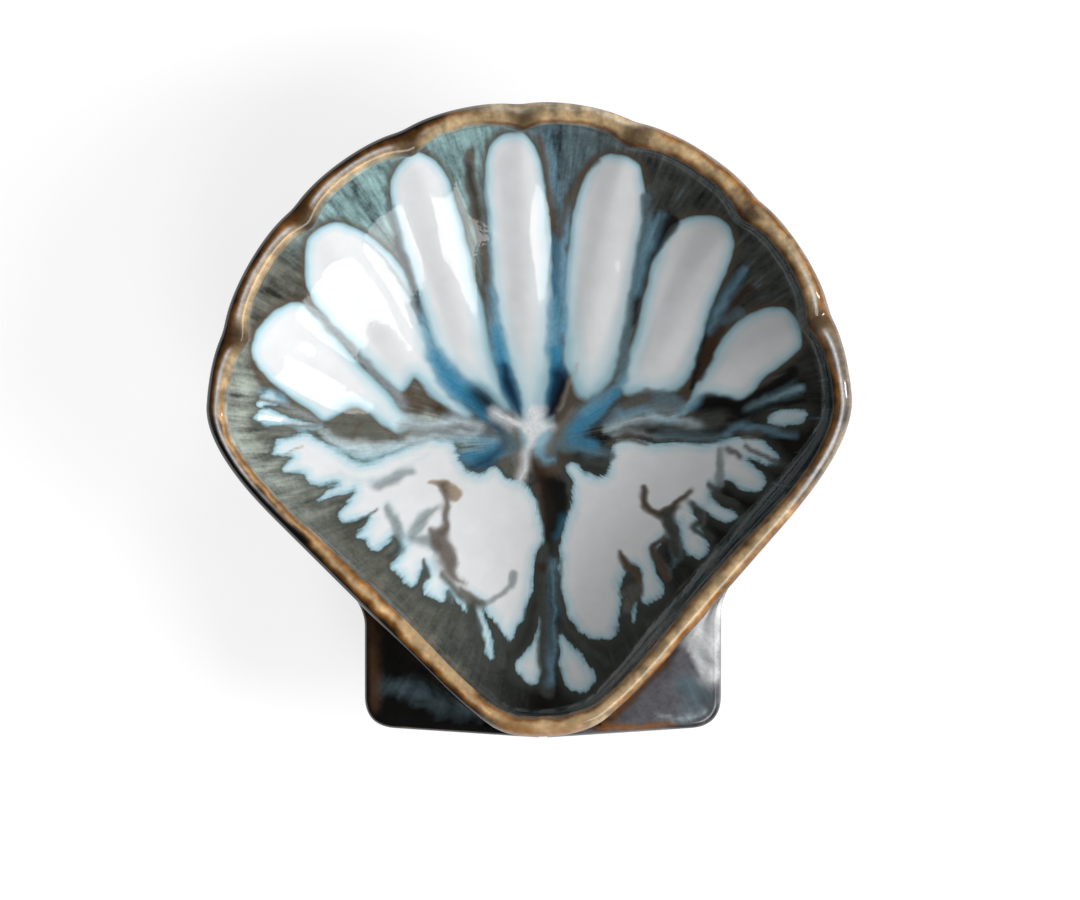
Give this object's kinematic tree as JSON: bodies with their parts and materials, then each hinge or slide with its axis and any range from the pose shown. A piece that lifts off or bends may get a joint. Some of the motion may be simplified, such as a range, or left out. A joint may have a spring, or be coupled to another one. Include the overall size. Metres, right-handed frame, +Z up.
{
  "type": "shell dish",
  "caption": "Small shallow stoneware dish shaped as a scallop shell, with a ribbed fan, a scalloped rim, hinge ears and a foot ring, in a poured reactive glaze.",
  "frame": {"origin": "under the middle of the dish's plan, on the surface that it stands on", "axes": "+Z up out of the bowl, +Y from the hinge ears towards the scalloped edge, +X across the fan"},
  "size_m": [0.1254, 0.1238, 0.028],
  "materials": {
    "stoneware": "bare fired clay",
    "white_glaze": "gloss, white with blue and brown flow marks",
    "amber_glaze": "gloss, thin over the edge",
    "brown_glaze": "gloss",
    "pool_glaze": "gloss, charcoal, pooled in the ears"
  },
  "bodies": {
    "root": {"bowl_body": "stoneware", "foot_ring": "stoneware", "left_ear": "brown_glaze", "right_ear": "brown_glaze", "liner_glaze": "white_glaze", "rim_glaze": "amber_glaze", "outside_glaze": "brown_glaze", "left_ear_glaze": "pool_glaze", "right_ear_glaze": "pool_glaze"}
  },
  "joints": []
}
